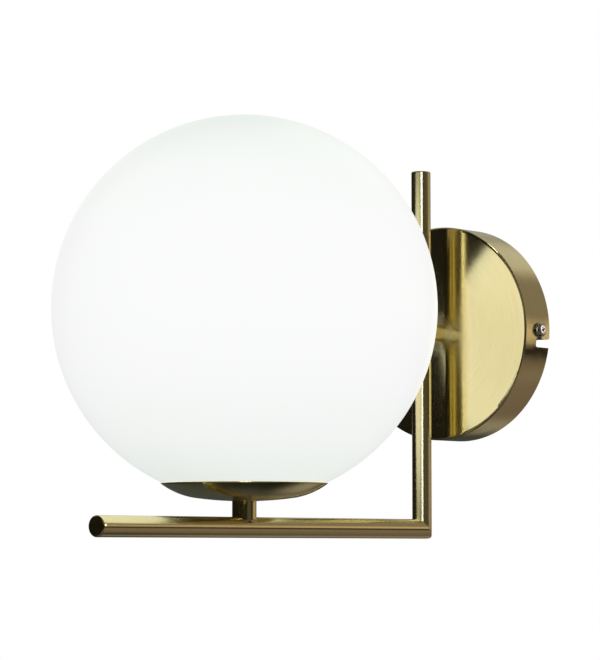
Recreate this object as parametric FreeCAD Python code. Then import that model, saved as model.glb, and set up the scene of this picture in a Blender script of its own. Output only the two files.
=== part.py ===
import FreeCAD, Part
import math
import os
from FreeCAD import Rotation, Vector

# A globe wall sconce: a round canopy on a wall bracket, an L-shaped arm of two mitred brass tubes,
# and an opal glass globe that stands in a turned brass saucer and is held by three spring clips.
# Millimetres, +Z up. The origin is the canopy's centre on the wall, and the lamp reaches out to -Y.

X_AXIS = Vector(1, 0, 0)
Y_AXIS = Vector(0, 1, 0)
Z_AXIS = Vector(0, 0, 1)

# Driving dimensions
GLOBE_RADIUS = 100.0
GLASS = 3.0                    # wall of the blown globe
GLOBE_Z = 3.8                  # height of the globe's centre
MOUTH_DROP = 92.0              # from the globe's centre down to its ground mouth
STEM_Y = -188.7                # the axis of stem, lampholder and globe

CANOPY_RADIUS = 60.0
CANOPY_DEPTH = 23.2
SHEET = 1.0                    # pressed brass of the canopy
CANOPY_EDGE = 1.5              # rounding of the canopy's front edge

TUBE_RADIUS = 5.4              # upright and arm
TUBE_WALL = 1.0
UPRIGHT_Y = -38.6
UPRIGHT_TOP = 90.0
ARM_Z = -109.7
ARM_TIP = -298.3
CAP = 2.0                      # solid end of each tube
CAP_EDGE = 0.8                 # rounding of the tube ends
CORNER_EDGE = 1.6              # rounding outside the mitre

SAUCER_RIM_Z = -87.0
SAUCER_BOTTOM_Z = -96.25
SAUCER_CROWN = 190.0           # radius of the saucer's shallow bottom
SAUCER_SHOULDER = 39.0         # radius of its rising edge
SAUCER_TURN = math.radians(7.5)
SAUCER_SEAT_RADIUS = 8.0       # flat under the saucer where the stem meets it
STEM_RADIUS = 6.3
STEM_FOOT = 1.8                # the stem's foot ends this far above the arm's axis
STEM_EDGE = 2.4                # rounding of the stem's foot

SCREW_Y = -9.9                 # side screws, from the wall
NOTCH_ANGLE = math.radians(7.0)  # the canopy turns this far to come off its screws
SLOT_HALF = 2.3
SLOT_CORNER = 1.5

BRACKET = 1.5                  # steel strap
FIXING_X = 34.0                # wall fixing slots, from the centre
FIXING_RADIUS = 2.25
FIXING_LENGTH = 12.0           # overall length of each slot
CABLE_HOLE = 6.0               # radius

LEAD_RADIUS = 1.0
LEAD_BEND = 7.0
LEAD_GAP = 1.3                 # each lead's distance from the middle of the tube

# Worked out from them
TUBE_BORE = TUBE_RADIUS - TUBE_WALL
MOUTH_Z = GLOBE_Z - MOUTH_DROP
CORNER = Vector(0, UPRIGHT_Y, ARM_Z)
CANOPY_INSIDE = -CANOPY_DEPTH + SHEET
M10, M8, M4, M3 = 5.0, 4.0, 2.0, 1.5  # thread radii


def rod(radius, length, start, along=Z_AXIS):
    return Part.makeCylinder(radius, length, start, along)


def ring(outer, inner, length, start, along=Z_AXIS):
    return rod(outer, length, start, along).cut(rod(inner, length, start, along))


def box(x, y, z):
    """A box from three (low, high) pairs."""
    size = [high - low for low, high in (x, y, z)]
    return Part.makeBox(*size, Vector(x[0], y[0], z[0]))


def on_stem(z):
    return Vector(0, STEM_Y, z)


def spun(edges):
    """A solid of revolution about the stem's axis, from edges in its XZ half plane at Y = 0."""
    face = Part.Face(Part.Wire(Part.__sortEdges__(edges)))
    solid = face.revolve(Vector(0, 0, 0), Z_AXIS, 360)
    solid = solid.Solids[0] if solid.Solids else solid
    return solid.translated(on_stem(0))


def lines(points):
    """Straight edges through (radius, height) points."""
    ends = [Vector(r, 0, z) for r, z in points]
    return [Part.makeLine(a, b) for a, b in zip(ends, ends[1:])]


def turned(points):
    """A turned piece from its closed outline of (radius, height) points."""
    return spun(lines(points + points[:1]))


def arc(centre, radius, start, end):
    """An arc in the XZ plane between two angles, counted from +X towards +Z."""
    at = [centre + Vector(math.cos(t), 0, math.sin(t)) * radius
          for t in (start, (start + end) / 2, end)]
    return Part.Arc(*at).toShape()


def hex_nut(across, hole, height, start, along):
    corner = across / math.sqrt(3)
    turns = [math.radians(60 * i) for i in range(7)]
    outline = Part.makePolygon([Vector(corner * math.cos(t), corner * math.sin(t), 0) for t in turns])
    nut = Part.Face(outline).extrude(Z_AXIS * height).cut(rod(hole, height, Vector(0, 0, 0)))
    nut.Placement = FreeCAD.Placement(start, Rotation(Z_AXIS, along))
    return nut


def pan_screw(thread, head, head_height, length, seat, along):
    """A pan-head screw whose head stands on `seat`, with its shank running along `along`."""
    recess = head * 0.42
    side = head_height * 0.35
    low = head_height * 0.5        # floor of the recess
    crown = Part.Arc(Vector(head, 0, side), Vector(head * 0.86, 0, head_height * 0.75),
                     Vector(recess, 0, head_height)).toShape()
    edges = lines([(recess, head_height), (recess, low), (0, low), (0, -length), (thread, -length),
                   (thread, 0), (head, 0), (head, side)]) + [crown]
    screw = spun(edges).translated(on_stem(0) * -1)
    screw.Placement = FreeCAD.Placement(seat, Rotation(Z_AXIS, along * -1))
    return screw


def bent_wire(points, radius, bend):
    """Round wire along straight runs joined by tangent arcs, one bend radius per inner point."""
    edges, start = [], points[0]
    for before, point, after, r in zip(points, points[1:], points[2:], bend):
        back = (before - point).normalize()
        ahead = (after - point).normalize()
        half = back.getAngle(ahead) / 2
        reach = r / math.tan(half)
        first = point + back * reach
        last = point + ahead * reach
        inward = (back + ahead).normalize()
        middle = point + inward * (r / math.sin(half) - r)
        edges.append(Part.makeLine(start, first))
        edges.append(Part.Arc(first, middle, last).toShape())
        start = last
    edges.append(Part.makeLine(start, points[-1]))
    path = Part.Wire(edges)
    section = Part.Wire(Part.makeCircle(radius, points[0], points[1] - points[0]))
    wire = path.makePipeShell([section], True, False)
    print("wire volume over section times length:",
          round(wire.Volume / (math.pi * radius ** 2 * path.Length), 4))
    return wire


def both_sides(shape):
    """The shape and its twin half a turn about the canopy's axis."""
    return [shape, shape.rotated(Vector(0, 0, 0), Y_AXIS, 180)]


# Wall bracket ---------------------------------------------------------------------------------

EAR_REACH = 58.4               # outer face of each ear, inside the canopy's wall
EAR_HALF = 4.8
STRAP_HALF = 4.8
EAR_TIP_Y = -15.6
HUB_RADIUS = 16.0              # round middle of the strap, about the cable hole
EARTH_X = 13.0


def wall_bracket():
    end = EAR_REACH - 2 * BRACKET
    strap = box((-end, end), (-BRACKET, 0), (-STRAP_HALF, STRAP_HALF))
    hub = rod(HUB_RADIUS, BRACKET, Vector(0, -BRACKET, 0), Y_AXIS)
    body = strap.fuse([hub] + both_sides(ear()))
    for x in (-FIXING_X, FIXING_X):
        body = body.cut(fixing_slot(x))
    body = body.cut(rod(CABLE_HOLE, BRACKET, Vector(0, -BRACKET, 0), Y_AXIS))
    body = body.cut(rod(M4, BRACKET, Vector(-EARTH_X, -BRACKET, 0), Y_AXIS))
    return body.removeSplitter()


def ear():
    """The strap's end, bent out from the wall, with a threaded collar for the side screw."""
    inner = EAR_REACH - BRACKET
    bend = 2 * BRACKET
    knee = ring(bend, BRACKET, 2 * EAR_HALF, Vector(EAR_REACH - bend, -bend, -EAR_HALF))
    knee = knee.common(box((EAR_REACH - bend, EAR_REACH), (-bend, 0), (-EAR_HALF, EAR_HALF)))
    tongue = box((inner, EAR_REACH), (EAR_TIP_Y, -bend), (-EAR_HALF, EAR_HALF))
    collar = rod(M4 + 1.2, 2.5, Vector(inner - 2.5, SCREW_Y, 0), X_AXIS)
    hole = rod(M4, 6, Vector(inner - 3, SCREW_Y, 0), X_AXIS)
    return tongue.fuse([knee, collar]).cut(hole)


def fixing_slot(x):
    straight = FIXING_LENGTH / 2 - FIXING_RADIUS
    ends = [rod(FIXING_RADIUS, BRACKET, Vector(x + side * straight, -BRACKET, 0), Y_AXIS)
            for side in (-1, 1)]
    middle = box((x - straight, x + straight), (-BRACKET, 0), (-FIXING_RADIUS, FIXING_RADIUS))
    return middle.fuse(ends)


def canopy_side_screws():
    seat = Vector(CANOPY_RADIUS + 0.3, SCREW_Y, 0)
    return both_sides(pan_screw(M4, 4.1, 2.6, 8.0, seat, X_AXIS * -1))


def earth_screw():
    return pan_screw(M4, 3.8, 2.4, 3.0, Vector(-EARTH_X, -BRACKET - 1, 0), Y_AXIS)


def earth_washer():
    return ring(4.5, M4, 1.0, Vector(-EARTH_X, -BRACKET - 1, 0), Y_AXIS)


# Canopy and what it carries --------------------------------------------------------------------

SPIGOT_RADIUS = 5.0
SPIGOT_BORE = 2.7
SPIGOT_END = -16.2
NUT_SEAT = -20.2
BLOCK_Z = (15.0, 32.0)
BLOCK_DEEP = 14.0
POLE_PITCH = 8.0
POLES = (-POLE_PITCH, 0.0, POLE_PITCH)
POLE_Y = CANOPY_INSIDE + 7.5   # wire holes of the terminal block
POLE_HALF = 2.6
BARREL_HALF = 2.0
WEB = 5.0                      # moulded web between the poles


def canopy():
    corner = CANOPY_RADIUS - CANOPY_EDGE
    inside = CANOPY_RADIUS - SHEET
    front = Vector(corner, 0, CANOPY_DEPTH - CANOPY_EDGE)
    edges = lines([(CANOPY_RADIUS, CANOPY_DEPTH - CANOPY_EDGE), (CANOPY_RADIUS, 0), (inside, 0),
                   (inside, CANOPY_DEPTH - SHEET), (M8, CANOPY_DEPTH - SHEET),
                   (M8, CANOPY_DEPTH), (corner, CANOPY_DEPTH)])
    edges.append(arc(front, CANOPY_EDGE, 0, math.pi / 2))
    cup = spun(edges).translated(on_stem(0) * -1)
    cup = cup.rotated(Vector(0, 0, 0), X_AXIS, 90)
    return cup.cut(Part.makeCompound(both_sides(bayonet_slot())))


def bayonet_slot():
    """The cutter of one L-shaped slot: in from the back edge, then round to the side screw."""
    middle = -CANOPY_RADIUS * math.sin(NOTCH_ANGLE)
    low, high = middle - SLOT_HALF, middle + SLOT_HALF
    deep, near = SCREW_Y - SLOT_HALF, SCREW_Y + SLOT_HALF
    c = SLOT_CORNER
    d = c * (1 - math.sqrt(0.5))
    back = 1.0                     # past the canopy's back edge

    def at(y, z):
        return Vector(CANOPY_RADIUS - 4, y, z)

    outline = [
        Part.makeLine(at(back, low), at(deep + c, low)),
        Part.Arc(at(deep + c, low), at(deep + d, low + d), at(deep, low + c)).toShape(),
        Part.makeLine(at(deep, low + c), at(deep, 0)),
        Part.Arc(at(deep, 0), at(SCREW_Y, SLOT_HALF), at(near, 0)).toShape(),
        Part.makeLine(at(near, 0), at(near, high + c)),
        Part.Arc(at(near, high + c), at(near + d, high + d), at(near + c, high)).toShape(),
        Part.makeLine(at(near + c, high), at(-c, high)),
        Part.Arc(at(-c, high), at(-d, high + d), at(0, high + c)).toShape(),
        Part.makeLine(at(0, high + c), at(back, high + c)),
        Part.makeLine(at(back, high + c), at(back, low)),
    ]
    return Part.Face(Part.Wire(outline)).extrude(X_AXIS * 6)


def canopy_spigot():
    """The short brass tube from the canopy to the upright, shouldered for its thread."""
    shoulder = rod(SPIGOT_RADIUS, -UPRIGHT_Y - CANOPY_DEPTH, Vector(0, UPRIGHT_Y, 0), Y_AXIS)
    thread = rod(M8, SPIGOT_END + CANOPY_DEPTH, Vector(0, -CANOPY_DEPTH, 0), Y_AXIS)
    body = shoulder.fuse(thread).cut(rod(TUBE_RADIUS, 40, Vector(0, UPRIGHT_Y, -20)))
    return body.cut(spigot_bore())


def spigot_bore():
    return rod(SPIGOT_BORE, SPIGOT_END - UPRIGHT_Y, Vector(0, UPRIGHT_Y, 0), Y_AXIS)


def canopy_washer():
    return ring(9.0, M8, 1.2, Vector(0, CANOPY_INSIDE, 0), Y_AXIS)


def earth_tag():
    """A ring tag under the lock nut, with a flat tail towards -X."""
    tag_y = CANOPY_INSIDE + 1.2
    tag = rod(6.5, NUT_SEAT - tag_y, Vector(0, tag_y, 0), Y_AXIS)
    tail = box((-14.5, 0), (tag_y, NUT_SEAT), (-2, 2))
    return tag.fuse(tail).cut(rod(M8, 2, Vector(0, tag_y, 0), Y_AXIS)).removeSplitter()


def canopy_lock_nut():
    return hex_nut(13.0, M8, 3.0, Vector(0, NUT_SEAT, 0), Y_AXIS)


def terminal_block():
    """Three moulded poles with wire holes along Z and screw wells towards the wall."""
    low, high = BLOCK_Z
    top = CANOPY_INSIDE + BLOCK_DEEP
    web = box((POLES[0], POLES[-1]), (CANOPY_INSIDE, CANOPY_INSIDE + WEB), (low, high))
    half = POLE_HALF
    poles = [box((x - half, x + half), (CANOPY_INSIDE, top), (low, high)) for x in POLES]
    block = web.fuse(poles)
    for x in POLES:
        block = block.cut(square_bar(x, low, high))
        for z in screw_heights():
            block = block.cut(rod(M3, top - POLE_Y, Vector(x, POLE_Y, z), Y_AXIS))
    return block.removeSplitter()


def square_bar(x, low, high):
    """The room that one terminal barrel takes in the block."""
    half = BARREL_HALF
    return box((x - half, x + half), (POLE_Y - half, POLE_Y + half), (low, high))


def screw_heights():
    return [BLOCK_Z[0] + 4.5, BLOCK_Z[1] - 4.5]


def terminal_inserts():
    """The brass barrels in the block, bored for the wires."""
    low, high = BLOCK_Z
    bore = rod(1.3, high - low, Vector(0, POLE_Y, low))
    return [square_bar(x, low + 2, high - 2).cut(bore.translated(X_AXIS * x)) for x in POLES]


# Arm -----------------------------------------------------------------------------------------

def mitre_half(sign):
    """Everything on one side of the mitre: sign 1 keeps the upright, -1 the arm."""
    size = 700.0
    half = Part.makeBox(size, size, size, Vector(-size / 2, -size / 2, 0))
    half.Placement = FreeCAD.Placement(CORNER, Rotation(Z_AXIS, Vector(0, sign, sign)))
    return half


def corner_rounding():
    """What polishing took off the outside of the mitre."""
    size = CORNER_EDGE
    edge_y = UPRIGHT_Y + TUBE_RADIUS
    edge_z = ARM_Z - TUBE_RADIUS
    block = box((-8, 8), (edge_y - size, edge_y + 1), (edge_z - 1, edge_z + size))
    return block.cut(rod(size, 16, Vector(-8, edge_y - size, edge_z + size), X_AXIS))


def upright_tube():
    low = ARM_Z - 2 * TUBE_RADIUS
    start = Vector(0, UPRIGHT_Y, low)
    tube = ring(TUBE_RADIUS, TUBE_BORE, UPRIGHT_TOP - CAP - low, start)
    return tube.common(mitre_half(1)).cut(corner_rounding()).cut(spigot_bore())


def arm_tube():
    start = Vector(0, ARM_TIP + CAP, ARM_Z)
    length = UPRIGHT_Y + 2 * TUBE_RADIUS - start.y
    tube = ring(TUBE_RADIUS, TUBE_BORE, length, start, Y_AXIS)
    lead_hole = rod(3.5, 2 * TUBE_RADIUS, on_stem(ARM_Z))
    return tube.common(mitre_half(-1)).cut(corner_rounding()).cut(lead_hole)


def tube_cap():
    """A closed tube end with a rounded edge and a spigot, standing on Z = 0."""
    side = TUBE_RADIUS - CAP_EDGE
    edges = lines([(side, CAP), (0, CAP), (0, -5), (TUBE_BORE, -5), (TUBE_BORE, 0),
                   (TUBE_RADIUS, 0), (TUBE_RADIUS, CAP - CAP_EDGE)])
    edges.append(arc(Vector(side, 0, CAP - CAP_EDGE), CAP_EDGE, 0, math.pi / 2))
    return spun(edges).translated(on_stem(0) * -1)


def upright_top_cap():
    return tube_cap().translated(Vector(0, UPRIGHT_Y, UPRIGHT_TOP - CAP))


def arm_end_cap():
    cap = tube_cap().rotated(Vector(0, 0, 0), X_AXIS, 90)
    return cap.translated(Vector(0, ARM_TIP + CAP, ARM_Z))


# Stem, saucer and globe -------------------------------------------------------------------------

FLOOR_Z = -94.0                # turned floor inside the saucer
NIPPLE_BORE = 3.5
PAD = 1.2                      # silicone gasket under the glass
SEAT_Z = MOUTH_Z - PAD
SEAT_INNER = 31.5
SEAT_OUTER = 39.0
CARRIER_Z = FLOOR_Z + 1.0      # on the stem's washer
CLIP_TURNS = (90, 210, 330)
CLIP_HALF = 4.0
CLIP_STEEL = 0.5


def stem_foot_z():
    return ARM_Z + STEM_FOOT


def saucer_seat_z():
    return saucer_height(SAUCER_SEAT_RADIUS)


def saucer_height(radius):
    """Height of the saucer's underside on its shallow bottom."""
    return SAUCER_BOTTOM_Z + SAUCER_CROWN - math.sqrt(SAUCER_CROWN ** 2 - radius ** 2)


def shoulder_centre():
    run = SAUCER_CROWN - SAUCER_SHOULDER
    drop = run * math.cos(SAUCER_TURN)
    return Vector(run * math.sin(SAUCER_TURN), 0, SAUCER_BOTTOM_Z + SAUCER_CROWN - drop)


def stem_tube():
    """The short tube under the saucer, saddled on the arm with a rounded foot."""
    low, high = stem_foot_z(), saucer_seat_z()
    side = STEM_RADIUS - STEM_EDGE
    edges = lines([(side, low), (0, low), (0, high), (STEM_RADIUS, high),
                   (STEM_RADIUS, low + STEM_EDGE)])
    edges.append(arc(Vector(side, 0, low + STEM_EDGE), STEM_EDGE, -math.pi / 2, 0))
    arm = rod(TUBE_RADIUS, 40, Vector(0, STEM_Y - 20, ARM_Z), Y_AXIS)
    return spun(edges).cut(rod(M10, high - low, on_stem(low))).cut(arm)


def saucer():
    """A turned brass dish: a shallow bottom running into a tighter shoulder, stepped inside."""
    crown = Vector(0, 0, SAUCER_BOTTOM_Z + SAUCER_CROWN)
    shoulder = shoulder_centre()
    down = -math.pi / 2
    seat_turn = math.asin(SAUCER_SEAT_RADIUS / SAUCER_CROWN)
    rim_turn = math.asin((SAUCER_RIM_Z - shoulder.z) / SAUCER_SHOULDER)
    rim = shoulder.x + SAUCER_SHOULDER * math.cos(rim_turn)
    edges = [arc(crown, SAUCER_CROWN, down + seat_turn, down + SAUCER_TURN),
             arc(shoulder, SAUCER_SHOULDER, down + SAUCER_TURN, rim_turn)]
    edges += lines([(rim, SAUCER_RIM_Z), (rim - 0.85, SAUCER_RIM_Z), (SEAT_OUTER, SEAT_Z),
                    (SEAT_INNER, SEAT_Z), (SEAT_INNER, SEAT_Z - 2), (20.0, FLOOR_Z),
                    (M10, FLOOR_Z), (M10, saucer_seat_z()), (SAUCER_SEAT_RADIUS, saucer_seat_z())])
    return spun(edges)


def stem_nipple():
    low = stem_foot_z() + 3.8      # just clear of the arm
    return ring(M10, NIPPLE_BORE, -82.0 - low, on_stem(low))


def stem_washer():
    return ring(9.0, M10, 1.0, on_stem(FLOOR_Z))


def clip_carrier():
    """A steel spider with one arm for each spring clip."""
    hub = rod(11.0, 1.0, on_stem(CARRIER_Z))
    arms = [around_stem(box((0, 24), (-CLIP_HALF, CLIP_HALF), (0, 1)), turn) for turn in CLIP_TURNS]
    arms = [arm.translated(Vector(0, 0, CARRIER_Z)) for arm in arms]
    return hub.fuse(arms).cut(rod(M10, 1.0, on_stem(CARRIER_Z))).removeSplitter()


def around_stem(shape, turn):
    """A shape made about the origin, turned by degrees and set on the stem's axis."""
    return shape.rotated(Vector(0, 0, 0), Z_AXIS, turn).translated(on_stem(0))


def globe_clips():
    """Leaf springs that rise through the mouth and bulge over the glass."""
    z = CARRIER_Z + 1.0
    inner = [(14.5, z), (25.5, z), (29.3, z + 3.4), (29.3, MOUTH_Z + 0.4), (33.2, MOUTH_Z + 3.6),
             (33.2, MOUTH_Z + 5.0), (26.0, MOUTH_Z + 16.0)]
    return [around_stem(leaf(inner), turn) for turn in CLIP_TURNS]


def leaf(points):
    """A strip of spring steel with its lower or outer face through (radius, height) points."""
    sides = [Vector(r, -CLIP_HALF, z) for r, z in points]
    normals = []
    for a, b in zip(sides, sides[1:]):
        run = (b - a).normalize()
        normals.append(Vector(-run.z, 0, run.x))
    offset = [sides[0] + normals[0] * CLIP_STEEL]
    for before, after, point in zip(normals, normals[1:], sides[1:]):
        bisector = (before + after).normalize()
        offset.append(point + bisector * (CLIP_STEEL / bisector.dot(before)))
    offset.append(sides[-1] + normals[-1] * CLIP_STEEL)
    outline = Part.makePolygon(sides + offset[::-1] + sides[:1])
    return Part.Face(outline).extrude(Y_AXIS * 2 * CLIP_HALF)


def stem_lock_nut():
    return hex_nut(14.0, M10, 3.0, on_stem(CARRIER_Z + 1.0), Z_AXIS)


def globe_gasket():
    return ring(SEAT_OUTER - 0.3, SEAT_INNER + 0.3, PAD, on_stem(SEAT_Z))


def glass_globe():
    """The blown globe with its mouth ground flat."""
    centre = on_stem(GLOBE_Z)
    shell = Part.makeSphere(GLOBE_RADIUS, centre).cut(Part.makeSphere(GLOBE_RADIUS - GLASS, centre))
    side = 2 * GLOBE_RADIUS
    below = Part.makeBox(side, side, side, on_stem(MOUTH_Z) - Vector(side / 2, side / 2, side))
    return shell.cut(below)


# Lampholder and bulb ----------------------------------------------------------------------------

HOLDER_Z = CARRIER_Z + 4.0     # on the stem's lock nut
HOLDER_RIM = -38.0
SHELL_BORE = 7.3
CONTACT_Z = HOLDER_Z + 22.5    # top of the moulded core, under the contacts
CONTACT_RISE = 4.4


def lampholder_cap():
    z = HOLDER_Z
    return turned([(M10, z), (9.0, z), (9.0, z + 3), (14.2, z + 9), (14.2, z + 21), (12.3, z + 21),
                   (12.3, z + 10), (9.5, z + 7), (M10, z + 7)])


def lampholder_body():
    low = HOLDER_Z + 17
    step = HOLDER_Z + 21
    rim = HOLDER_RIM
    return turned([(10.6, low), (12.3, low), (12.3, step), (14.0, step), (14.0, rim - 1),
                   (13.0, rim), (8.8, rim), (8.8, rim - 2), (12.2, rim - 4), (12.2, step),
                   (10.6, step)])


def lampholder_insert():
    """The moulded core, hung by its flange in the body and hollow where the leads come in."""
    low, high = HOLDER_Z + 12, CONTACT_Z
    return turned([(0, low + 4), (3.0, low + 4), (3.0, low), (10.4, low), (10.4, high - 1.5),
                   (12.0, high - 1.5), (12.0, high), (0, high)])


def lampholder_thread_shell():
    low, high = CONTACT_Z, HOLDER_RIM - 8.5
    return turned([(SHELL_BORE, low + 1), (SHELL_BORE, high), (7.8, high), (7.8, low + 1),
                   (9.4, low + 1), (9.4, low), (5.5, low), (5.5, low + 1)])


def lampholder_centre_contact():
    """A sprung tongue of phosphor bronze under the bulb's tip."""
    low = CONTACT_Z
    foot = box((-1.8, 1.8), (STEM_Y - 3.6, STEM_Y + 1.0), (low, low + 0.5))
    slope = Vector(0, 4.6, CONTACT_RISE)
    section = Part.makePolygon([Vector(-1.8, STEM_Y - 3.6, low + 0.5),
                                Vector(-1.8, STEM_Y - 3.0, low + 0.5),
                                Vector(-1.8, STEM_Y - 3.0, low) + slope,
                                Vector(-1.8, STEM_Y - 3.6, low) + slope,
                                Vector(-1.8, STEM_Y - 3.6, low + 0.5)])
    return foot.fuse(Part.Face(section).extrude(X_AXIS * 3.6)).removeSplitter()


TIP_Z = CONTACT_Z + CONTACT_RISE  # the bulb's contact rests on the tongue
BULB_RADIUS = 14.0
BULB_TOP = 32.0


def bulb_tip_contact():
    return turned([(0, TIP_Z), (2.0, TIP_Z), (2.6, TIP_Z + 0.8), (2.6, TIP_Z + 1.6),
                   (0, TIP_Z + 1.6)])


def bulb_cap_insulator():
    z = TIP_Z + 0.6
    return turned([(2.6, z), (3.2, z), (6.4, z + 3), (6.4, z + 5), (0, z + 5), (0, z + 1),
                   (2.6, z + 1)])


def bulb_screw_cap():
    z = TIP_Z + 3.6
    return turned([(6.4, z), (6.95, z), (6.95, z + 18), (8.1, z + 19), (8.1, z + 20),
                   (6.4, z + 20)])


def bulb_housing():
    z = TIP_Z + 5.6
    neck = TIP_Z + 23.6
    return turned([(0, z), (6.4, z), (6.4, neck), (8.1, neck), (8.1, HOLDER_RIM + 1),
                   (BULB_RADIUS, neck + 18), (BULB_RADIUS, neck + 22), (0, neck + 22)])


def bulb_diffuser():
    z = TIP_Z + 45.6
    soft = 3.0
    return turned([(0, z), (BULB_RADIUS, z), (BULB_RADIUS, BULB_TOP - soft),
                   (BULB_RADIUS - soft, BULB_TOP), (0, BULB_TOP)])


# Leads ----------------------------------------------------------------------------------------

def supply_lead(side, pole):
    """A lead from its terminal, through spigot, upright, arm and stem, up to the lampholder."""
    x = side * LEAD_GAP
    route = [Vector(pole, POLE_Y, BLOCK_Z[0] + 2), Vector(x, -10.5, 0), Vector(x, UPRIGHT_Y, 0),
             Vector(x, UPRIGHT_Y, ARM_Z), Vector(x, STEM_Y, ARM_Z), Vector(x, STEM_Y, HOLDER_Z + 16)]
    return bent_wire(route, LEAD_RADIUS, [5.0, LEAD_BEND, LEAD_BEND, LEAD_BEND])


def earth_lead():
    route = [Vector(POLES[0], POLE_Y, BLOCK_Z[0] + 2), Vector(-12.0, -12.5, 0.5),
             Vector(-12.0, NUT_SEAT, 0)]
    return bent_wire(route, LEAD_RADIUS, [3.5])


PIECES = {
    "wall_bracket": wall_bracket,
    "canopy_side_screws": canopy_side_screws,
    "earth_screw": earth_screw,
    "earth_washer": earth_washer,
    "canopy": canopy,
    "canopy_spigot": canopy_spigot,
    "canopy_washer": canopy_washer,
    "canopy_lock_nut": canopy_lock_nut,
    "earth_tag": earth_tag,
    "earth_lead": earth_lead,
    "terminal_block": terminal_block,
    "terminal_inserts": terminal_inserts,
    "upright_tube": upright_tube,
    "upright_top_cap": upright_top_cap,
    "arm_tube": arm_tube,
    "arm_end_cap": arm_end_cap,
    "stem_tube": stem_tube,
    "saucer": saucer,
    "stem_nipple": stem_nipple,
    "stem_washer": stem_washer,
    "stem_lock_nut": stem_lock_nut,
    "clip_carrier": clip_carrier,
    "globe_clips": globe_clips,
    "globe_gasket": globe_gasket,
    "lampholder_cap": lampholder_cap,
    "lampholder_body": lampholder_body,
    "lampholder_insert": lampholder_insert,
    "lampholder_thread_shell": lampholder_thread_shell,
    "lampholder_centre_contact": lampholder_centre_contact,
    "live_lead": lambda: supply_lead(1, POLES[2]),
    "neutral_lead": lambda: supply_lead(-1, POLES[1]),
    "glass_globe": glass_globe,
    "bulb_diffuser": bulb_diffuser,
    "bulb_housing": bulb_housing,
    "bulb_screw_cap": bulb_screw_cap,
    "bulb_cap_insulator": bulb_cap_insulator,
    "bulb_tip_contact": bulb_tip_contact,
}

os.makedirs("parts", exist_ok=True)
for name, make in PIECES.items():
    shape = make()
    if isinstance(shape, list):
        shape = Part.makeCompound(shape)
    shape.exportStep(f"parts/{name}.step")
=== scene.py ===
import math

import bmesh
import bpy
from mathutils import Matrix, Vector


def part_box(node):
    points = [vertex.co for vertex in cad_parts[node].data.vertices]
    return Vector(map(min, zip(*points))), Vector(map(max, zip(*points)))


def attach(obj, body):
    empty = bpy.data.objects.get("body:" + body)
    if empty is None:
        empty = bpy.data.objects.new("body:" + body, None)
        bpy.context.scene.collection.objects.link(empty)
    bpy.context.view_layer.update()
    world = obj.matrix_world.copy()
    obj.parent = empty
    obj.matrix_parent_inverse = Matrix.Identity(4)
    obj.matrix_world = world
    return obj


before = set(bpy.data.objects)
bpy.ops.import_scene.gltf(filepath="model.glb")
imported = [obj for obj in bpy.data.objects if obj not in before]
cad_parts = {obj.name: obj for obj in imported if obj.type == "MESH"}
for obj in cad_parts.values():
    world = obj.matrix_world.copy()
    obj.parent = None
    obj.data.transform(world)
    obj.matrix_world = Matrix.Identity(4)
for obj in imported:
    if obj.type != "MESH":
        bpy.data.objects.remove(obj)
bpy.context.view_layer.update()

MM = 0.001

# Camera, in the lamp's own frame
CAMERA_PLACE = Vector((0.96724, -1.29636, -0.12036))
CAMERA_PITCH = math.radians(94.383)
CAMERA_TURN = math.radians(40.009)
CAMERA_LENS = 155.27

# Colours, linear
BRASS = (0.93, 0.835, 0.47)
BRASS_DEEP = (0.87, 0.745, 0.37)
OPAL = (0.62, 0.635, 0.63)
OPAL_CLOUD = (0.61, 0.63, 0.62)
# The globe's glass glows with these colours: painted light standing in for the bulb's light through
# it
OPAL_GLOW = (1.0, 1.0, 1.0)
# Its glow at top and bottom is painted shade, dimmer and greener than at its middle
OPAL_GLOW_POLE_SHADE = (0.80, 0.88, 0.81)
SCREW = (0.80, 0.76, 0.70)
NICKEL = (0.72, 0.70, 0.66)
PLAIN_BRASS = (0.78, 0.62, 0.32)
HOLDER_WHITE = (0.74, 0.74, 0.71)
WHITE = (1.0, 1.0, 1.0)
COOL = (0.70, 0.75, 1.0)

# The canopy's face looks up and to the left by these slopes, as it hangs on its screws
FACE_LEAN = 0.029
FACE_TURN = 0.016
# Its side starts at this distance from its axis, and its grooves fade between the other two
SIDE_START = 59 * MM
HUB = (6 * MM, 15 * MM)
HUB_BLUR = 0.22
# Width of the saucer's rolled edge
RIM_ROLL = 1.1 * MM
# The bulb's thread: from crest to crest, and its core's radius
E14_PITCH = 2.82 * MM
E14_CORE = 6.95 * MM
# A screw head's recess, as a share of the head, and half the width of the cross in millimetres
RECESS = 0.42
CROSS_HALF = 0.42
# The terminal block's clamp screws: from pole to pole, and from the block's ends
POLE_PITCH = 8 * MM
CLAMP_INSET = 4.5 * MM
# The spring clips' rivets: their distance from the stem's axis, and their turns about it
RIVET_REACH = 20 * MM
RIVET_TURNS = (90, 210, 330)

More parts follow.
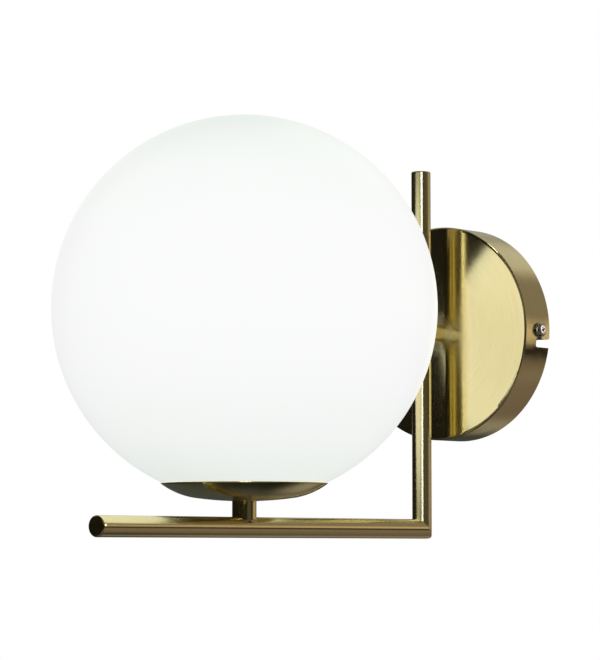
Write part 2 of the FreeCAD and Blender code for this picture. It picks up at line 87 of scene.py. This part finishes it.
# The studio as polished metal sees it. Turn is counted from the front towards the right, rise
# from level, both in degrees: turn from, to, rise from, to, softness, colour.
STUDIO_DARK = (0.009, 0.008, 0.006)
STUDIO_RADIUS = 3.2
LAMP_DISTANCE = 2.2
CARDS = [
    (106, 206, 11, 64, 5, (0.22, 0.19, 0.16)),     # right and back
    (168, 214, 30, 70, 8, (0.56, 0.54, 0.50)),     # its pale top
    (206, 250, 0, 34, 8, (0.40, 0.38, 0.35)),      # left of that
    (128, 180, -3, 11, 5, (0.56, 0.45, 0.33)),     # bright line along the level
    (108, 200, -46, -12, 5, (0.165, 0.130, 0.113)),  # right and back, below
    (108, 200, -27, -19, 3, (0.205, 0.165, 0.145)),  # a band across that
    (190, 214, -49, -26, 8, (0.28, 0.26, 0.23)),   # pale patch low at the back
    (180, 214, -18, -1, 7, (0.085, 0.085, 0.08)),  # under the saucer, right
    (214, 262, -60, -1, 8, (0.060, 0.068, 0.070)),  # under the saucer, left
    (66, 106, -20, 50, 8, (0.070, 0.067, 0.052)),  # dim between key and right
    (8, 66, 14, 70, 6, (0.15, 0.145, 0.11)),       # front, above
    (-50, 100, -75, -22, 8, (0.10, 0.09, 0.075)),  # floor in front
    (268, 306, 28, 70, 6, (0.34, 0.32, 0.28)),     # left, which the photograph doesn't show
    (-180, 180, 78, 95, 6, (0.40, 0.38, 0.33)),    # overhead, the same
]


# Shader building ------------------------------------------------------------------------------

class Shader:
    """A material's node tree, with its Principled shader."""

    def __init__(self, name):
        self.material = bpy.data.materials.new(name)
        self.material.use_nodes = True
        self.tree = self.material.node_tree
        self.tree.nodes.clear()
        self.surface = self.node("ShaderNodeBsdfPrincipled")
        output = self.node("ShaderNodeOutputMaterial")
        self.link(self.surface.outputs[0], output.inputs["Surface"])

    def node(self, kind, **settings):
        made = self.tree.nodes.new(kind)
        for key, value in settings.items():
            setattr(made, key, value)
        return made

    def link(self, source, target):
        self.tree.links.new(source, target)

    def put(self, source, target):
        """Links a socket, or sets a plain value."""
        if isinstance(source, bpy.types.NodeSocket):
            self.link(source, target)
        else:
            target.default_value = source

    def math(self, operation, *values):
        made = self.node("ShaderNodeMath", operation=operation)
        for value, socket in zip(values, made.inputs):
            self.put(value, socket)
        return made.outputs[0]

    def place(self):
        """The object's own coordinates, in metres."""
        return self.node("ShaderNodeTexCoord").outputs["Object"]

    def split(self, vector):
        made = self.node("ShaderNodeSeparateXYZ")
        self.link(vector, made.inputs[0])
        return made.outputs

    def join(self, x, y, z):
        made = self.node("ShaderNodeCombineXYZ")
        for value, socket in zip((x, y, z), made.inputs):
            self.put(value, socket)
        return made.outputs[0]

    def noise(self, vector, scale, detail=2.0, roughness=0.5):
        made = self.node("ShaderNodeTexNoise")
        self.link(vector, made.inputs["Vector"])
        made.inputs["Scale"].default_value = scale
        made.inputs["Detail"].default_value = detail
        made.inputs["Roughness"].default_value = roughness
        return made.outputs["Fac"]

    def spread(self, value, low, high, out_low, out_high, smooth=False):
        made = self.node("ShaderNodeMapRange")
        if smooth:
            made.interpolation_type = "SMOOTHSTEP"
        for source, socket in zip((value, low, high, out_low, out_high), made.inputs):
            self.put(source, socket)
        return made.outputs[0]

    def blend(self, factor, first, second):
        made = self.node("ShaderNodeMix", data_type="RGBA")
        self.put(factor, made.inputs["Factor"])
        self.put(first + (1.0,) if isinstance(first, tuple) else first, made.inputs["A"])
        self.put(second + (1.0,) if isinstance(second, tuple) else second, made.inputs["B"])
        return made.outputs["Result"]

    def bump(self, height, distance, strength=1.0):
        made = self.node("ShaderNodeBump")
        made.inputs["Strength"].default_value = strength
        made.inputs["Distance"].default_value = distance
        self.link(height, made.inputs["Height"])
        self.link(made.outputs[0], self.surface.inputs["Normal"])

    def set(self, **values):
        for key, value in values.items():
            self.put(value, self.surface.inputs[key.replace("_", " ")])


def round_coordinates(shader, axis, centre):
    """Distance from an axis, turn about it, and height along it, for a turned or drawn piece."""
    offset = shader.node("ShaderNodeVectorMath", operation="SUBTRACT")
    shader.link(shader.place(), offset.inputs[0])
    offset.inputs[1].default_value = centre
    x, y, z = shader.split(offset.outputs[0])
    across, up, along = {"X": (y, z, x), "Y": (x, z, y), "Z": (x, y, z)}[axis]
    radius = shader.math("SQRT", shader.math("ADD", shader.math("MULTIPLY", across, across),
                                             shader.math("MULTIPLY", up, up)))
    turn = shader.math("ARCTAN2", up, across)
    return radius, turn, along


def brushed_brass(name, axis, centre, roughness, streak, anisotropy=0.9, shape=None, hub=None):
    """Satin brass whose fine grooves run round `axis`, lacquered, with faint stains.

    `streak` is the slope of the coarser grooves. `shape` gives the height of a larger form, and
    `hub` the inner and outer radius between which a duller middle turns into the plain polish."""
    shader = Shader(name)
    radius, turn, along = round_coordinates(shader, axis, centre)
    across = shader.math("ADD", radius, along)
    lap = shader.math("MULTIPLY", turn, 2.0)
    fine = shader.join(shader.math("MULTIPLY", across, 5000.0), lap, 0.0)
    fine = shader.noise(fine, 1.0, 3.0, 0.6)
    coarse = shader.join(shader.math("MULTIPLY", across, 900.0), lap, 7.0)
    coarse = shader.noise(coarse, 1.0, 2.0, 0.7)
    cloud = shader.noise(shader.place(), 38.0, 3.0, 0.55)
    wear = shader.math("ADD", shader.math("MULTIPLY", coarse, 0.5),
                       shader.math("MULTIPLY", cloud, 0.5))
    shader.set(Metallic=1.0, Anisotropic=anisotropy, Anisotropic_Rotation=0.25)
    shader.set(Base_Color=shader.blend(shader.spread(wear, 0.3, 0.7, 0.0, 1.0), BRASS, BRASS_DEEP))
    uneven = shader.math("ADD", fine, shader.math("MULTIPLY", coarse, 0.5))
    gloss = shader.spread(uneven, 0.45, 1.05, roughness * 0.85, roughness * 1.15)
    if hub:
        dull = shader.spread(radius, hub[0], hub[1], HUB_BLUR, 0.0, True)
        gloss = shader.math("ADD", gloss, dull)
    shader.set(Roughness=gloss)
    tangent = shader.node("ShaderNodeTangent", direction_type="RADIAL", axis=axis)
    shader.link(tangent.outputs[0], shader.surface.inputs["Tangent"])
    height = shader.math("MULTIPLY", coarse, streak * MM / 3)
    height = shader.math("ADD", height, shader.math("MULTIPLY", fine, streak * MM / 15))
    if shape:
        height = shader.math("ADD", height, shape(shader, radius))
    shader.bump(height, 1.0)
    return shader.material


def canopy_shape(shader, radius):
    """The lean of the canopy's face, and the slight waves of its rolled side."""
    x, y, z = shader.split(shader.place())
    lean = shader.math("SUBTRACT", shader.math("MULTIPLY", x, FACE_TURN),
                       shader.math("MULTIPLY", z, FACE_LEAN))
    waves = shader.noise(shader.place(), 55.0, 1.0, 0.4)
    on_side = shader.spread(radius, SIDE_START, SIDE_START + MM, 0.0, 0.4 * MM)
    waves = shader.math("MULTIPLY", waves, on_side)
    return shader.math("ADD", waves, lean)


def saucer_shape(shader, radius):
    """The rolled edge of the saucer, which turns its polish towards the viewer."""
    low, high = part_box("saucer")
    rim = (high[0] - low[0]) / 2
    roll = shader.spread(radius, rim - RIM_ROLL, rim, 0.0, 1.0)
    return shader.math("MULTIPLY", shader.math("MULTIPLY", roll, roll), -0.6 * RIM_ROLL)


def opal_glass(node):
    """White opal glass that glows with painted light, as if lit evenly from inside, with painted
    shade making it dimmer and a little greener at its poles.
    """
    shader = Shader("opal_glass")
    cloud = shader.noise(shader.place(), 9.0, 2.0, 0.5)
    low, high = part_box(node)
    height = shader.split(shader.place())[2]
    # Painted shade: the glow dims and turns greener towards the globe's top and bottom
    pole = shader.spread(height, high[2] - (high[0] - low[0]), high[2], -1.0, 1.0)
    pole = shader.math("POWER", shader.math("ABSOLUTE", pole), 3.0)
    base = shader.blend(shader.spread(cloud, 0.3, 0.7, 0.0, 1.0), OPAL, OPAL_CLOUD)
    shader.set(Base_Color=base, Roughness=0.35, IOR=1.5, Specular_IOR_Level=0.25)
    # Painted light: the glass itself glows, though the bulb gives no light
    glow = shader.blend(pole, OPAL_GLOW, OPAL_GLOW_POLE_SHADE)
    shader.set(Emission_Color=glow, Emission_Strength=0.64)
    skin = shader.noise(shader.place(), 60.0, 2.0, 0.5)
    shader.bump(skin, 0.00002)
    return shader.material


def plain_metal(name, colour, roughness, thread=None):
    """Plated or turned metal with fine scratches, and with a screw thread if it's given one.

    `thread` is its axis, a point on it, its pitch and its depth."""
    shader = Shader(name)
    marks = shader.noise(shader.place(), 900.0, 3.0, 0.6)
    worn = tuple(c * 0.82 for c in colour)
    shader.set(Base_Color=shader.blend(marks, colour, worn), Metallic=1.0)
    shader.set(Roughness=shader.spread(marks, 0.3, 0.7, roughness * 0.8, roughness * 1.25))
    height = shader.math("MULTIPLY", marks, 0.000004)
    if thread:
        axis, centre, pitch, depth = thread
        turn, along = round_coordinates(shader, axis, centre)[1:]
        phase = shader.math("ADD", turn, shader.math("MULTIPLY", along, 2 * math.pi / pitch))
        ridge = shader.math("MULTIPLY", shader.math("SINE", phase), depth / 2)
        height = shader.math("ADD", height, ridge)
    shader.bump(height, 1.0)
    return shader.material


def moulded(name, colour, roughness):
    """Moulded plastic, rubber or glazed stuff with a fine skin."""
    shader = Shader(name)
    skin = shader.noise(shader.place(), 700.0, 2.0, 0.5)
    shader.set(Base_Color=shader.blend(skin, colour, tuple(c * 0.93 for c in colour)))
    shader.set(Roughness=shader.spread(skin, 0.3, 0.7, roughness * 0.85, roughness * 1.15))
    shader.bump(skin, 0.00002, 0.3)
    return shader.material


def dress(material, *nodes):
    """Gives a material to every slot of CAD nodes."""
    for name in nodes:
        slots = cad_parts[name].data.materials
        if not slots:
            slots.append(material)
        for i in range(len(slots)):
            slots[i] = material


def middle(node):
    low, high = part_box(node)
    return tuple((a + b) / 2 for a, b in zip(low, high))


def dress_frame():
    dress(brushed_brass("brass_canopy", "Y", middle("canopy"), 0.14, 0.07, 0.88, canopy_shape,
                        HUB), "canopy")
    dress(brushed_brass("brass_spigot", "Y", middle("canopy_spigot"), 0.18, 0.002), "canopy_spigot")
    for node, axis, roughness in (("upright_tube", "Z", 0.25), ("upright_top_cap", "Z", 0.25),
                                  ("arm_tube", "Y", 0.17), ("arm_end_cap", "Y", 0.17),
                                  ("stem_tube", "Z", 0.17)):
        dress(brushed_brass("brass_" + node, axis, middle(node), roughness, 0.0006, 0.95), node)
    dress(brushed_brass("brass_saucer", "Z", middle("saucer"), 0.2, 0.01, 0.9,
                        saucer_shape), "saucer")
    dress(opal_glass("glass_globe"), "glass_globe")
    dress(plain_metal("zinc_plate", (0.60, 0.62, 0.63), 0.35), "wall_bracket", "canopy_washer",
          "stem_washer", "clip_carrier", "earth_washer")
    dress(plain_metal("plain_brass", PLAIN_BRASS, 0.25), "canopy_lock_nut", "stem_lock_nut",
          "terminal_inserts")
    nipple_thread = ("Z", middle("stem_nipple"), MM, 0.3 * MM)
    dress(plain_metal("nipple_brass", PLAIN_BRASS, 0.25, nipple_thread), "stem_nipple")
    dress(plain_metal("spring_steel", (0.42, 0.43, 0.46), 0.28), "globe_clips")
    dress(plain_metal("screw_nickel", SCREW, 0.22), "canopy_side_screws", "earth_screw")
    dress(plain_metal("contact_nickel", NICKEL, 0.2), "bulb_tip_contact")
    shell_thread = ("Z", middle("lampholder_thread_shell"), E14_PITCH, 0.7 * MM)
    dress(plain_metal("nickel_shell", NICKEL, 0.2, shell_thread),
          "lampholder_thread_shell")
    dress(plain_metal("nickel_cap", NICKEL, 0.2), "bulb_screw_cap")
    dress(plain_metal("tinned_copper", (0.70, 0.66, 0.58), 0.3), "earth_tag")
    dress(plain_metal("phosphor_bronze", (0.62, 0.38, 0.22), 0.25), "lampholder_centre_contact")
    dress(moulded("silicone", (0.72, 0.72, 0.70), 0.5), "globe_gasket")
    dress(moulded("white_plastic", (0.80, 0.80, 0.78), 0.3), "terminal_block", "bulb_housing")
    dress(moulded("holder_plastic", HOLDER_WHITE, 0.45), "lampholder_cap", "lampholder_body",
          "lampholder_insert")
    dress(moulded("bulb_frosted", (0.88, 0.88, 0.85), 0.4), "bulb_diffuser")
    dress(moulded("cap_glass", (0.02, 0.02, 0.02), 0.15), "bulb_cap_insulator")
    dress(moulded("lead_brown", (0.10, 0.045, 0.02), 0.4), "live_lead")
    dress(moulded("lead_blue", (0.02, 0.08, 0.32), 0.4), "neutral_lead")
    dress(moulded("lead_green", (0.06, 0.26, 0.05), 0.4), "earth_lead")


# Small fasteners ------------------------------------------------------------------------------

def place_mesh(name, shape, material):
    """Puts a finished bmesh in the scene as an object."""
    mesh = bpy.data.meshes.new(name)
    shape.to_mesh(mesh)
    shape.free()
    mesh.materials.append(material)
    made = bpy.data.objects.new(name, mesh)
    bpy.context.scene.collection.objects.link(made)
    return made


def prism(name, outlines, height, stand, material, body):
    """A straight-sided piece on `body`: outlines in millimetres, raised along the stand's Z."""
    solid = bmesh.new()
    for points in outlines:
        base = [solid.verts.new((x * MM, y * MM, 0.0)) for x, y in points]
        face = solid.faces.new(base)
        raised = bmesh.ops.extrude_face_region(solid, geom=[face])
        top = [v for v in raised["geom"] if isinstance(v, bmesh.types.BMVert)]
        bmesh.ops.translate(solid, verts=top, vec=(0.0, 0.0, height * MM))
    bmesh.ops.recalc_face_normals(solid, faces=solid.faces)
    bmesh.ops.bevel(solid, geom=solid.edges[:], offset=0.05 * MM, segments=1, affect="EDGES")
    piece = place_mesh(name, solid, material)
    piece.matrix_world = stand
    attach(piece, body)


def sector(radius, gap, turn, steps=6):
    """A quarter of a disc between the arms of a cross, `gap` from each arm's middle line."""
    lean = math.asin(gap / radius)
    points = [(gap, gap)]
    for i in range(steps + 1):
        a = lean + (math.pi / 2 - 2 * lean) * i / steps
        points.append((radius * math.cos(a), radius * math.sin(a)))
    c, s = math.cos(turn), math.sin(turn)
    return [(c * x - s * y, s * x + c * y) for x, y in points]


def cross(head):
    """The four quarters that leave a cross in the recess of a head of that radius."""
    return [sector(head * RECESS / MM, CROSS_HALF, math.pi / 2 * i) for i in range(4)]


def half_disc(radius, gap, side, steps=12):
    """A disc's part on one side of a slot."""
    lean = math.asin(gap / radius)
    turns = [lean + (math.pi - 2 * lean) * i / steps for i in range(steps + 1)]
    return [(radius * math.cos(a) * side, radius * math.sin(a) * side) for a in turns]


def circle(radius, steps=24):
    turns = [2 * math.pi * i / steps for i in range(steps)]
    return [(radius * math.cos(a), radius * math.sin(a)) for a in turns]


def facing(place, direction, spin=0.0):
    """A frame at `place` with its Z along `direction`."""
    turn = Vector(direction).to_track_quat("Z", "Y").to_matrix().to_4x4()
    return Matrix.Translation(place) @ turn @ Matrix.Rotation(spin, 4, "Z")


def cross_recesses(steel):
    """The cross in each screw head: four corners left standing in its round recess."""
    low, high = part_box("canopy_side_screws")
    y, z = (low[1] + high[1]) / 2, (low[2] + high[2]) / 2
    head, rise = (high[2] - low[2]) / 2, 2.6 * MM
    quarters = cross(head)
    for name, x, side in (("right", high[0], 1), ("left", low[0], -1)):
        foot = Vector((x - side * rise / 2, y, z))
        prism("side_screw_cross_" + name, quarters, 1.2, facing(foot, (side, 0, 0), 0.35), steel,
              "wall_bracket")
    low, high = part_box("earth_screw")
    foot = Vector(((low[0] + high[0]) / 2, low[1] + 1.2 * MM, (low[2] + high[2]) / 2))
    prism("earth_screw_cross", cross((high[0] - low[0]) / 2), 1.1,
          facing(foot, (0, -1, 0), 0.6), steel, "wall_bracket")


def clamp_screws(steel):
    """The slotted screws in the terminal block's wells."""
    low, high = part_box("terminal_block")
    middle_x = (low[0] + high[0]) / 2
    for column in (-1, 0, 1):
        for row, z in enumerate((low[2] + CLAMP_INSET, high[2] - CLAMP_INSET)):
            place = Vector((middle_x + column * POLE_PITCH, high[1] - 3.0 * MM, z))
            name = "clamp_screw_%d_%d" % (column + 1, row)
            turned = facing(place, (0, 1, 0), 0.5 * column + 0.8 * row)
            prism(name + "_head", [half_disc(1.4, 0.25, 1), half_disc(1.4, 0.25, -1)], 0.8, turned,
                  steel, "lamp_arm")
            prism(name + "_body", [circle(1.3)], 1.0,
                  facing(place - Vector((0, 0.95 * MM, 0)), (0, 1, 0)), steel, "lamp_arm")


def clip_rivets(steel):
    """One rivet through each spring clip and its arm of the carrier."""
    low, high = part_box("lampholder_body")
    axis = Vector(((low[0] + high[0]) / 2, (low[1] + high[1]) / 2, 0.0))
    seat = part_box("clip_carrier")[1][2] + 0.5 * MM
    for turn in RIVET_TURNS:
        a = math.radians(turn)
        out = Vector((math.cos(a), math.sin(a), 0.0)) * RIVET_REACH
        place = axis + out + Vector((0, 0, seat))
        prism("clip_rivet_%d" % turn, [circle(1.7)], 0.6, facing(place, (0, 0, 1)), steel,
              "lamp_arm")


def bulb_thread(nickel):
    """The round thread of the bulb's cap, wound on its cylinder."""
    low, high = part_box("bulb_screw_cap")
    x, y = middle("bulb_screw_cap")[:2]
    foot, head = low[2] + 1.2 * MM, low[2] + 17 * MM
    # Out from the core in millimetres, and up in shares of the pitch
    profile = [(-0.05, -0.28), (0.2, -0.14), (0.27, 0.0), (0.2, 0.14), (-0.05, 0.28)]
    laps = (head - foot) / E14_PITCH
    steps = round(36 * laps)
    ridge = bmesh.new()
    rings = []
    for i in range(steps + 1):
        a = 2 * math.pi * laps * i / steps
        level = foot + (head - foot) * i / steps
        rings.append([ridge.verts.new((x + (E14_CORE + out * MM) * math.cos(a),
                                       y + (E14_CORE + out * MM) * math.sin(a),
                                       level + rise * E14_PITCH)) for out, rise in profile])
    for first, second in zip(rings, rings[1:]):
        for j in range(len(profile)):
            k = (j + 1) % len(profile)
            ridge.faces.new((first[j], first[k], second[k], second[j]))
    ridge.faces.new(rings[0])
    ridge.faces.new(rings[-1])
    bmesh.ops.recalc_face_normals(ridge, faces=ridge.faces)
    piece = place_mesh("bulb_cap_thread", ridge, nickel)
    for polygon in piece.data.polygons:
        polygon.use_smooth = len(polygon.vertices) == 4
    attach(piece, "bulb")


# Studio ---------------------------------------------------------------------------------------

def card_mask(shader, turn, rise, card):
    """One inside the card, with soft edges, nothing outside."""
    low_turn, high_turn, low_rise, high_rise, soft = card[:5]
    centre = (low_turn + high_turn) / 2
    away = shader.math("FLOORED_MODULO", shader.math("SUBTRACT", turn, centre - 180.0), 360.0)
    away = shader.math("ABSOLUTE", shader.math("SUBTRACT", away, 180.0))
    half = (high_turn - low_turn) / 2
    mask = shader.spread(away, half - soft, half + soft, 1.0, 0.0, True)
    above = shader.spread(rise, low_rise - soft, low_rise + soft, 0.0, 1.0, True)
    below = shader.spread(rise, high_rise - soft, high_rise + soft, 1.0, 0.0, True)
    return shader.math("MULTIPLY", mask, shader.math("MULTIPLY", above, below))


def hide_from(thing, *rays):
    for ray in rays:
        setattr(thing, "visible_" + ray, False)


def cards_glow():
    """What the studio's cards give off, by the direction from the lamp."""
    shader = Shader("studio_cards")
    x, y, z = shader.split(shader.place())
    degrees = 180.0 / math.pi
    turn = shader.math("ARCTAN2", x, shader.math("MULTIPLY", y, -1.0))
    turn = shader.math("MULTIPLY", turn, degrees)
    rise = shader.math("ARCSINE", shader.math("DIVIDE", z, STUDIO_RADIUS))
    rise = shader.math("MULTIPLY", rise, degrees)
    colour = STUDIO_DARK
    for card in CARDS:
        colour = shader.blend(card_mask(shader, turn, rise, card), colour, card[5])
    glow = shader.node("ShaderNodeEmission")
    shader.link(colour, glow.inputs["Color"])
    output = next(n for n in shader.tree.nodes if n.type == "OUTPUT_MATERIAL")
    shader.tree.nodes.remove(shader.surface)
    shader.link(glow.outputs[0], output.inputs["Surface"])
    return shader.material


def studio_cards():
    """Dark and lit cards all round, which only the gloss of the lamp sees."""
    ball = bmesh.new()
    bmesh.ops.create_uvsphere(ball, u_segments=64, v_segments=32, radius=STUDIO_RADIUS)
    cards = place_mesh("studio_cards", ball, cards_glow())
    hide_from(cards, "camera", "diffuse", "transmission", "volume_scatter", "shadow")


def white_world(light):
    """White behind all that is seen, mirrored or seen through, and a plain level of light."""
    world = bpy.data.worlds.new("studio")
    bpy.context.scene.world = world
    world.use_nodes = True
    nodes, links = world.node_tree.nodes, world.node_tree.links
    nodes.clear()
    path = nodes.new("ShaderNodeLightPath")
    seen = path.outputs["Is Camera Ray"]
    for name in ("Is Glossy Ray", "Is Transmission Ray"):
        either = nodes.new("ShaderNodeMath")
        either.operation = "MAXIMUM"
        links.new(seen, either.inputs[0])
        links.new(path.outputs[name], either.inputs[1])
        seen = either.outputs[0]
    plain = nodes.new("ShaderNodeBackground")
    plain.inputs["Strength"].default_value = light
    white = nodes.new("ShaderNodeBackground")
    for background in (plain, white):
        background.inputs["Color"].default_value = (1.0, 1.0, 1.0, 1.0)
    mix = nodes.new("ShaderNodeMixShader")
    links.new(seen, mix.inputs[0])
    links.new(plain.outputs[0], mix.inputs[1])
    links.new(white.outputs[0], mix.inputs[2])
    output = nodes.new("ShaderNodeOutputWorld")
    links.new(mix.outputs[0], output.inputs["Surface"])


def softbox(name, turn, rise, width, height, radiance, mirrored_by=(), colour=WHITE):
    """A light facing the lamp from that direction, in degrees.

    It lights the pale surfaces, or if pieces are named, it only shows in their polish."""
    lamp = bpy.data.lights.new(name, "AREA")
    lamp.shape = "RECTANGLE"
    lamp.size, lamp.size_y = width, height
    lamp.energy = radiance * math.pi * width * height
    lamp.color = colour
    held = bpy.data.objects.new(name, lamp)
    bpy.context.scene.collection.objects.link(held)
    a, e = math.radians(turn), math.radians(rise)
    toward = Vector((math.sin(a) * math.cos(e), -math.cos(a) * math.cos(e), math.sin(e)))
    aim = Vector((0.0, -0.15, 0.0))
    held.location = aim + toward * LAMP_DISTANCE
    held.rotation_euler = toward.to_track_quat("Z", "Y").to_euler()
    held.visible_glossy = bool(mirrored_by)
    if mirrored_by:
        held.visible_diffuse = False
        shown = bpy.data.collections.new(name + "_shows_on")
        for piece in mirrored_by:
            shown.objects.link(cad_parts.get(piece) or bpy.data.objects[piece])
        held.light_linking.receiver_collection = shown


def floor():
    """A pale floor well below the lamp, which puts no light on it."""
    shader = Shader("floor")
    cloud = shader.noise(shader.place(), 3.0)
    paint = shader.blend(cloud, (0.86, 0.86, 0.86), (0.84, 0.84, 0.84))
    shader.set(Base_Color=paint, Roughness=0.7)
    shader.set(Emission_Color=(0.95, 0.96, 1.0, 1.0), Emission_Strength=0.42)
    sheet = bmesh.new()
    bmesh.ops.create_grid(sheet, x_segments=1, y_segments=1, size=4.0)
    ground = place_mesh("floor", sheet, shader.material)
    ground.location.z = -3.0
    hide_from(ground, "diffuse", "glossy", "transmission", "shadow")


def camera():
    lens = bpy.data.cameras.new("camera")
    lens.lens = CAMERA_LENS
    held = bpy.data.objects.new("camera", lens)
    held.location = CAMERA_PLACE
    held.rotation_euler = (CAMERA_PITCH, 0.0, CAMERA_TURN)
    bpy.context.scene.collection.objects.link(held)
    bpy.context.scene.camera = held


camera()
floor()
white_world(0.48)
studio_cards()
softbox("key", turn=43.0, rise=40.0, width=1.0, height=1.2, radiance=0.7)
softbox("back_fill", turn=200.0, rise=15.0, width=1.4, height=1.4, radiance=1.4)
dress_frame()
fastener_steel = plain_metal("fastener_nickel", SCREW, 0.22)
cross_recesses(fastener_steel)
clamp_screws(fastener_steel)
clip_rivets(fastener_steel)
bulb_thread(fastener_steel)
softbox("tube_shine", turn=48.0, rise=10.0, width=0.78, height=0.8, radiance=5.0,
        mirrored_by=("upright_tube", "upright_top_cap"), colour=COOL)
softbox("side_shine", turn=136.0, rise=8.0, width=0.9, height=0.5, radiance=1.6,
        mirrored_by=("arm_end_cap", "canopy_side_screws", "side_screw_cross_right"))
softbox("saucer_shine", turn=42.0, rise=-25.0, width=0.6, height=0.35, radiance=5.0,
        mirrored_by=("saucer",))
softbox("rim_shine", turn=45.0, rise=79.0, width=0.5, height=0.5, radiance=4.0,
        mirrored_by=("canopy",))

bpy.context.scene.view_settings.view_transform = "Standard"
